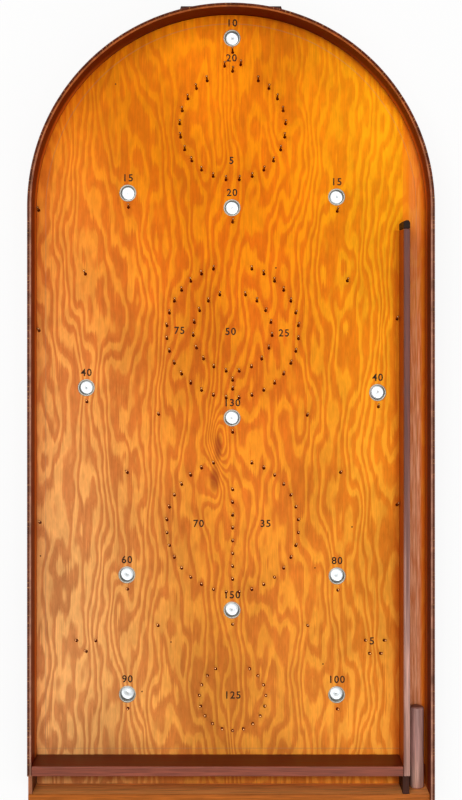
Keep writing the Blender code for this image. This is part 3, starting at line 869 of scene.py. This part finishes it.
# %% The push rod
# A short hardwood dowel, dulled by hands, with worn ends. Its top is painted paler than its sides
# along its length: a painted highlight for a broad soft sheen. It turns paler still towards its
# near end.
ROD_RADIUS = (rod_high.x - rod_low.x) / 2
ROD_EDGE = 1.6 * MM
ROD_STEPS = 48
rod_length = rod_high.y - rod_low.y
rod_profile = [
    (0, 0),
    (ROD_RADIUS - ROD_EDGE, 0),
    (ROD_RADIUS - 0.45 * ROD_EDGE, 0.15 * ROD_EDGE),
    (ROD_RADIUS - 0.12 * ROD_EDGE, 0.5 * ROD_EDGE),
    (ROD_RADIUS, ROD_EDGE),
]
rod_profile += [(radius, rod_length - w) for radius, w in reversed(rod_profile)]
rod_builder = spun(rod_profile, ROD_STEPS)
rod_builder.transform(Matrix.Rotation(-math.pi / 2, 4, "X"))
rod_middle = (rod_low + rod_high) / 2
rod_builder.transform(Matrix.Translation((rod_middle.x, rod_low.y, rod_middle.z)))
# Above this height the rod's top is painted paler than its sides: a painted highlight along its
# length.
rod_highlight_height = rod_high.z - 3 * MM
rod_paler_end = ("#D2A48E", -0.54, -0.588)
rod_wood = stained_strip(
    "handled_hardwood_dowel", "v", rod_highlight_height, "#B88A80", "#7C5048", 0.34, paler_part=rod_paler_end
)
piece("push_rod", as_mesh(rod_builder, "rod"), rod_wood, "plunger", ["plunger_rod"])

# %% [markdown]
# ## Things that repeat
# The board has twelve cups and well over a hundred nails. Geometry Nodes put a copy of one
# template on each point of a mesh that holds only points. The nails were driven by hand, so each
# copy leans a little its own way. The tree takes its lean and its spread as named inputs, has a
# fixed seed, and ends by making the copies real, so the result is a plain mesh.


# %% A tree that plants a template on points
LEAN_SEED = 7


def planting_tree():
    """Copies of a template on points, each turned by the lean and up to the spread from it."""
    tree = bpy.data.node_groups.new("plant_on_points", "GeometryNodeTree")
    tree.is_modifier = True
    kinds = {"Points": "Geometry", "Template": "Object", "Lean": "Float", "Spread": "Float"}
    for name, kind in {**kinds, "Material": "Material"}.items():
        tree.interface.new_socket(name, in_out="INPUT", socket_type=f"NodeSocket{kind}")
    tree.interface.new_socket("Mesh", in_out="OUTPUT", socket_type="NodeSocketGeometry")
    given = node(tree, "NodeGroupInput").outputs
    template = node(tree, "GeometryNodeObjectInfo", {"Object": given["Template"]})
    least = {0: given["Lean"], 1: given["Spread"]}
    least = node(tree, "ShaderNodeMath", least, operation="SUBTRACT")
    most = node(tree, "ShaderNodeMath", {0: given["Lean"], 1: given["Spread"]})
    back = {0: given["Spread"], 1: -1.0}
    back = node(tree, "ShaderNodeMath", back, operation="MULTIPLY")
    lowest = node(tree, "ShaderNodeCombineXYZ", {0: least, 1: back, 2: 0.0})
    highest = node(tree, "ShaderNodeCombineXYZ", {0: most, 1: given["Spread"], 2: 0.0})
    turn_range = {0: lowest, 1: highest, "Seed": LEAN_SEED}
    turn = node(tree, "FunctionNodeRandomValue", turn_range, data_type="FLOAT_VECTOR")
    placed = {"Points": given["Points"], "Instance": template.outputs["Geometry"]}
    placed["Rotation"] = turn
    copies = node(tree, "GeometryNodeInstanceOnPoints", placed)
    real = node(tree, "GeometryNodeRealizeInstances", {"Geometry": copies})
    coloured = {"Geometry": real, "Material": given["Material"]}
    done = node(tree, "GeometryNodeSetMaterial", coloured)
    node(tree, "NodeGroupOutput", {0: done})
    return tree


def planted(tree, template_mesh, places, lean, spread, material):
    """The template on each (u, v, w) place, as one plain mesh."""
    template = bpy.data.objects.new("template", template_mesh)
    ground = bpy.data.meshes.new("points")
    ground.from_pydata(places, [], [])
    holder = bpy.data.objects.new("holder", ground)
    modifier = holder.modifiers.new("plant", "NODES")
    modifier.node_group = tree
    chosen = {"Template": template, "Lean": lean, "Spread": spread, "Material": material}
    for item in tree.interface.items_tree:
        if item.in_out == "INPUT" and item.name in chosen:
            modifier[item.identifier] = chosen[item.name]
    mesh = settled_mesh(holder)
    bpy.data.objects.remove(template, do_unlink=True)
    return mesh


planting = planting_tree()
print("planting tree:", len(planting.nodes), "nodes")

# %% [markdown]
# ## Tin cups
# A cup is pressed from thin tin plate: a rolled lip, a short wall, a flat floor and a small
# dimple left by the press. The lip catches the light all the way round, which is what makes a
# cup read as metal from above. The CAD cups give the places and the outer sizes.


# %% The cup template
cup_boxes = {
    name: board_box(name) for name in sorted(frame["nodes"]) if name.startswith("cup_")
}
cup_low, cup_high = next(iter(cup_boxes.values()))
LIP_RADIUS = (cup_high.x - cup_low.x) / 2
CUP_WALL = 0.6 * MM
BORE = LIP_RADIUS - 1.25 * MM
LIP_TOP = cup_high.z
FLOOR_W = cup_low.z + CUP_WALL
DIMPLE = 0.8 * MM
FILLET = 1.2 * MM
CUP_STEPS = 56
cup_profile = [
    (0, FLOOR_W + 0.3 * MM),
    (0.6 * DIMPLE, FLOOR_W + 0.2 * MM),
    (DIMPLE, FLOOR_W),
    (BORE - 1.6 * FILLET, FLOOR_W),
    (BORE - 0.6 * FILLET, FLOOR_W + 0.35 * FILLET),
    (BORE - 0.15 * FILLET, FLOOR_W + FILLET),
    (BORE, LIP_TOP - 0.5 * MM),
    (BORE + 0.15 * MM, LIP_TOP - 0.15 * MM),
    (BORE + 0.45 * MM, LIP_TOP),
    (LIP_RADIUS - 0.35 * MM, LIP_TOP - 0.05 * MM),
    (LIP_RADIUS, LIP_TOP - 0.35 * MM),
    (LIP_RADIUS, LIP_TOP - 0.6 * MM),
    (BORE + CUP_WALL, LIP_TOP - 0.6 * MM),
    (BORE + 0.7 * CUP_WALL, FLOOR_W + FILLET),
    (BORE - 0.8 * FILLET, cup_low.z),
    (0, cup_low.z),
]
print(len(cup_boxes), "cups,", f"{LIP_RADIUS * 2:.4f} m across the lip")


# %% The finish of the cups
# Pressed tin plate: bright and slightly grey, with the soft blur of years of marbles. The wall
# is painted darker than the floor as painted shade, and the lip is duller too, which gives each
# cup a grey ring round a bright middle.
def tin_plate(tree):
    position, _, _, w = board_position(tree)
    smears = figure(tree, position, (4 * MM, 4 * MM, 4 * MM), 2.0, 0.5)
    below_lip = span(w, LIP_TOP - 0.3 * MM, LIP_TOP - 0.9 * MM)
    below_lip = node(tree, "ShaderNodeMapRange", below_lip, **SMOOTH)
    above_floor = span(w, FLOOR_W + 0.15 * MM, FLOOR_W + 0.8 * MM)
    above_floor = node(tree, "ShaderNodeMapRange", above_floor, **SMOOTH)
    # The wall is painted darker: painted shade inside the cup.
    shaded_wall = masked(tree, below_lip, above_floor)
    lip = span(w, LIP_TOP - 0.5 * MM, LIP_TOP - 0.2 * MM)
    lip = node(tree, "ShaderNodeMapRange", lip, **SMOOTH)
    colour = node(tree, "ShaderNodeMix", mix(shaded_wall, "#C6CACC", "#8A867E"), **BLEND)
    colour = node(tree, "ShaderNodeMix", mix(lip, colour, "#9A9488"), **BLEND)
    blur = node(tree, "ShaderNodeMapRange", span(smears, 0.3, 0.75, 0.38, 0.5), **SMOOTH)
    return {
        "Base Color": toned(tree, colour, smears, 0.3, 0.7, 0.95, 1.02),
        "Metallic": 1.0,
        "Roughness": blur,
    }


tin = finish("pressed_tin_plate", tin_plate)
cup_places = [
    ((low.x + high.x) / 2, (low.y + high.y) / 2, 0) for low, high in cup_boxes.values()
]
cup = as_mesh(spun(cup_profile, CUP_STEPS), "cup")
cup_mesh = planted(planting, cup, cup_places, 0, 0, tin)
piece("tin_cups", cup_mesh, tin, "board", list(cup_boxes))

# %% [markdown]
# ## Wire nails
# Each is a headed wire nail with a thin bronze lacquer. Its crown is painted pale: a painted
# highlight on the head, so from above a nail is a pale dot with a dark edge. Each nail widens at
# its foot into a small dark collar. The crown is marked on the template as a number on its points,
# which the shader reads, so the painted highlight follows each head however the nail leans. The
# patterns are plain geometry: most are rings with a gap at the top, the nails at equal angles each
# side of the lowest point.

# %% The nail template
NAIL_HEIGHT = 9.6 * MM
NAIL_FOOT = -2.0 * MM
SHANK = 0.75 * MM
HEAD = 1.2 * MM
NAIL_LEAN = math.radians(-15)
NAIL_SPREAD = math.radians(3)
CROWN_RADIUS = 0.42 * HEAD
COLLAR = 2.0 * MM
NAIL_STEPS = 8
nail_profile = [
    (0, NAIL_FOOT),
    (SHANK, NAIL_FOOT),
    (COLLAR, -0.5 * MM),
    (SHANK + 0.1 * MM, 0.8 * MM),
    (SHANK, NAIL_HEIGHT - 0.9 * MM),
    (HEAD, NAIL_HEIGHT - 0.55 * MM),
    (HEAD, NAIL_HEIGHT - 0.2 * MM),
    (CROWN_RADIUS + 0.1 * MM, NAIL_HEIGHT - 0.1 * MM),
    (CROWN_RADIUS, NAIL_HEIGHT),
    (0, NAIL_HEIGHT),
]
nail_mesh = as_mesh(spun(nail_profile, NAIL_STEPS), "nail")
crown = nail_mesh.attributes.new("crown", "FLOAT", "POINT")
for vertex in nail_mesh.vertices:
    on_top = vertex.co.z > NAIL_HEIGHT - 0.05 * MM
    crown.data[vertex.index].value = 1.0 if on_top else 0.0
print("nail template:", len(nail_mesh.polygons), "faces")


# %% The finish of the nails
# Bronze-lacquered steel wire: dark red-brown with a warm gleam, and a yellowish crown that is a
# painted highlight.
def bronzed_steel(tree):
    paler_part = node(tree, "ShaderNodeAttribute", attribute_name="crown").outputs["Fac"]
    position = board_position(tree)[0]
    spots = figure(tree, position, (3 * MM, 3 * MM, 3 * MM), 2.0)
    # The pale crown is a painted highlight.
    paler_mark = node(tree, "ShaderNodeMapRange", span(paler_part, 0.25, 0.85), **SMOOTH)
    thin = node(tree, "ShaderNodeMapRange", span(spots, 0.3, 0.7), **SMOOTH)
    lacquer = node(tree, "ShaderNodeMix", mix(thin, "#400A00", "#5E1804"), **BLEND)
    return {
        "Base Color": node(tree, "ShaderNodeMix", mix(paler_mark, lacquer, "#C8925C"), **BLEND),
        "Metallic": 1.0,
        "Roughness": node(
            tree, "ShaderNodeMapRange", span(spots, 0.3, 0.7, 0.3, 0.45), **SMOOTH
        ),
    }


bronze = finish("bronzed_wire_nail", bronzed_steel)


# %% Where the nails stand
AXIS_U = 1.7 * MM


def open_ring(centre_v, radius, step, pairs, middle=False):
    """Nails on a ring at equal steps each side of its lowest point."""
    places = []
    for k in range(pairs):
        angle = math.radians(step) * (k + 1 if middle else k + 0.5)
        for side in (-1, 1):
            u = AXIS_U + side * radius * math.sin(angle)
            places.append((u, centre_v - radius * math.cos(angle), 0))
    if middle:
        places.append((AXIS_U, centre_v - radius, 0))
    return places


def column(first_v, last_v, count):
    """Nails one under another on the axis of the field."""
    step = (last_v - first_v) / (count - 1)
    return [(AXIS_U, first_v + step * i, 0) for i in range(count)]


def pocket(centre_u, centre_v, offsets):
    """The few nails of a small catch pocket, as (u, v) offsets in millimetres."""
    return [(centre_u + u * MM, centre_v + v * MM, 0) for u, v in offsets]


TOP_RING_V = 84.2 * MM
UPPER_RING_V = -125.5 * MM
LOWER_RING_V = -324 * MM
LOWEST_RING_V = -498.9 * MM
pattern = open_ring(TOP_RING_V, 54.2 * MM, 14.4, 11)
pattern += open_ring(UPPER_RING_V, 67.5 * MM, 11.25, 15)
pattern += open_ring(UPPER_RING_V, 40.4 * MM, 18.95, 9)
pattern += column(-174.6 * MM, -183.8 * MM, 2)
pattern += open_ring(LOWER_RING_V, 67.5 * MM, 11.25, 15)
pattern += column(-286.6 * MM, -378.2 * MM, 8)
pattern += open_ring(LOWEST_RING_V, 34 * MM, 18.65, 8, middle=True)
pattern += pocket(AXIS_U, 141.5 * MM, ((-8.2, 5.1), (0, 0), (8.2, 6.6)))
pattern += pocket(-148 * MM, -441 * MM, ((-9.7, 0.2), (9.7, 0), (0, -11)))
pattern += pocket(147 * MM, -441 * MM, ((-9.7, 0.4), (9.7, 0.4), (-5.5, -13), (5.8, -13)))
print(len(pattern), "nails in rings, columns and pockets")


# %% Take the single nails from the CAD and plant them all
def foot_of(node_name):
    """Where a CAD nail enters the board, from its lowest point and its lean."""
    points = [TO_BOARD @ vertex.co for vertex in frame["nodes"][node_name].data.vertices]
    lowest = min(points, key=lambda point: point.z)
    return (lowest.x, lowest.y + math.tan(-NAIL_LEAN) * -lowest.z, 0)


single_names = sorted(name for name in frame["nodes"] if "nail_" in name)
pattern += [foot_of(name) for name in single_names]
all_nails = planted(planting, nail_mesh, pattern, NAIL_LEAN, NAIL_SPREAD, bronze)
piece("wire_nails", all_nails, bronze, "board", single_names)
print(len(pattern), "nails in all,", len(single_names), "of them from the CAD")

# %% [markdown]
# ## Printed scores
# Each score is stamped in dark brown ink above its cup or in the middle of its ring. Blender's
# own font has the right plain round digits. A text object is made a mesh before it is placed,
# because its size lives on the object, and it gets the thickness of a coat of ink, so that it is
# a closed shape that lies on the board and rides with it.

# %% The ink
# Oil-based stamping ink: matt, nearly opaque, rubbed through to the wood in specks.
DIGIT_HEIGHT = 7.1 * MM
DIGIT_SPACING = 1.16
FONT_CAP_HEIGHT = 0.69
INK_THICKNESS = 0.05 * MM
INK_SPREAD = 0.17 * MM
INK_CLEARANCE = 0.02 * MM
SCORE_ABOVE_CUP = 15.6 * MM


def stamping_ink(tree):
    position = board_position(tree)[0]
    specks = figure(tree, position, (0.7 * MM, 0.9 * MM, MM), 3.0, 0.7)
    paler_share = node(tree, "ShaderNodeMapRange", span(specks, 0.55, 0.75, 0.0, 0.5), **SMOOTH)
    colour = node(tree, "ShaderNodeMix", mix(paler_share, "#2C1C10", "#8A5826"), **BLEND)
    return {
        "Base Color": colour,
        "Roughness": 0.7,
        "Specular IOR Level": 0.15,
    }


ink = finish("brown_stamping_ink", stamping_ink)


# %% Stamp the scores
def stamp(name, text, u, v):
    """A printed number whose middle is at (u, v)."""
    curve = bpy.data.curves.new(name, "FONT")
    curve.body = text
    curve.align_x = "CENTER"
    curve.align_y = "CENTER"
    curve.size = DIGIT_HEIGHT / FONT_CAP_HEIGHT
    curve.extrude = INK_THICKNESS
    curve.offset = INK_SPREAD
    curve.space_character = DIGIT_SPACING
    curve.resolution_u = 4
    mesh = settled_mesh(bpy.data.objects.new(name, curve))
    heights = [vertex.co.y for vertex in mesh.vertices]
    middle_v = (min(heights) + max(heights)) / 2
    lift = INK_THICKNESS + INK_CLEARANCE
    mesh.transform(Matrix.Translation((u, v - middle_v, lift)))
    piece(name, mesh, ink, "board")


for cup_name, (low, high) in cup_boxes.items():
    score = cup_name.split("_")[1]
    centre = (low + high) / 2
    stamp(cup_name.replace("cup", "score"), score, centre.x, centre.y + SCORE_ABOVE_CUP)
for name, text, u, v in (
    ("score_pocket_top", "20", 0.5 * MM, 154.8 * MM),
    ("score_ring_top", "5", 0.5 * MM, 49.9 * MM),
    ("score_ring_left", "75", -52.7 * MM, -124 * MM),
    ("score_ring_middle", "50", -0.5 * MM, -125 * MM),
    ("score_ring_right", "25", 54.2 * MM, -126.5 * MM),
    ("score_half_left", "70", -33.2 * MM, -321.4 * MM),
    ("score_half_right", "35", 35.3 * MM, -321.4 * MM),
    ("score_pocket_right", "5", 144.2 * MM, -441.6 * MM),
    ("score_ring_bottom", "125", AXIS_U, -496.9 * MM),
):
    stamp(name, text, u, v)

# %% [markdown]
# ## Old nail holes
# A few nails have been pulled or lost. Each left a small dark hole, filled level with polish.


# %% Fill the old holes
# Old polish and dirt: dark brown and dull.
def old_polish(tree):
    return {"Base Color": "#3A1608", "Roughness": 0.6, "Specular IOR Level": 0.1}


HOLE_RADIUS = 0.8 * MM
HOLE_DEPTH = 0.5 * MM
PLUG_CROWN = 0.08 * MM
PLUG_STEPS = 10
plug_profile = [(0, -HOLE_DEPTH), (HOLE_RADIUS, -HOLE_DEPTH), (HOLE_RADIUS, 0), (0, PLUG_CROWN)]
hole_u = (-194.9, -61.4, -91.0, 94.1, 85.9, 123.8, -118.0, 46.0)
hole_v = (-354.7, -442.7, -493.3, -465.2, -366.9, -325.0, 128.0, -60.0)
holes = [(u * MM, v * MM, 0) for u, v in zip(hole_u, hole_v)]
polish = finish("old_polish_in_holes", old_polish)
plug = as_mesh(spun(plug_profile, PLUG_STEPS), "plug")
plugs = planted(planting, plug, holes, 0, 0, polish)
piece("filled_nail_holes", plugs, polish, "board")

# %% [markdown]
# ## The hinge
# The butt hinge that carries the prop leg, and its screws, are plain dull steel under the board.
# They keep their CAD shape.


# %% Dress the hinge
# Rolled steel strip, long handled: grey-brown, half dull, with fine scuffs.
def dull_steel(tree):
    position = board_position(tree)[0]
    scuffs = figure(tree, position, (6 * MM, 1.2 * MM, 2 * MM), 3.0, 0.65)
    paler_part = node(tree, "ShaderNodeMapRange", span(scuffs, 0.3, 0.7), **SMOOTH)
    return {
        "Base Color": node(tree, "ShaderNodeMix", mix(paler_part, "#6E6860", "#A29C92"), **BLEND),
        "Metallic": 1.0,
        "Roughness": node(
            tree, "ShaderNodeMapRange", span(scuffs, 0.3, 0.75, 0.34, 0.55), **SMOOTH
        ),
    }


hinge_steel = finish("rolled_hinge_steel", dull_steel)
for name in sorted(frame["nodes"]):
    if name.startswith("hinge_"):
        dress(name, hinge_steel)
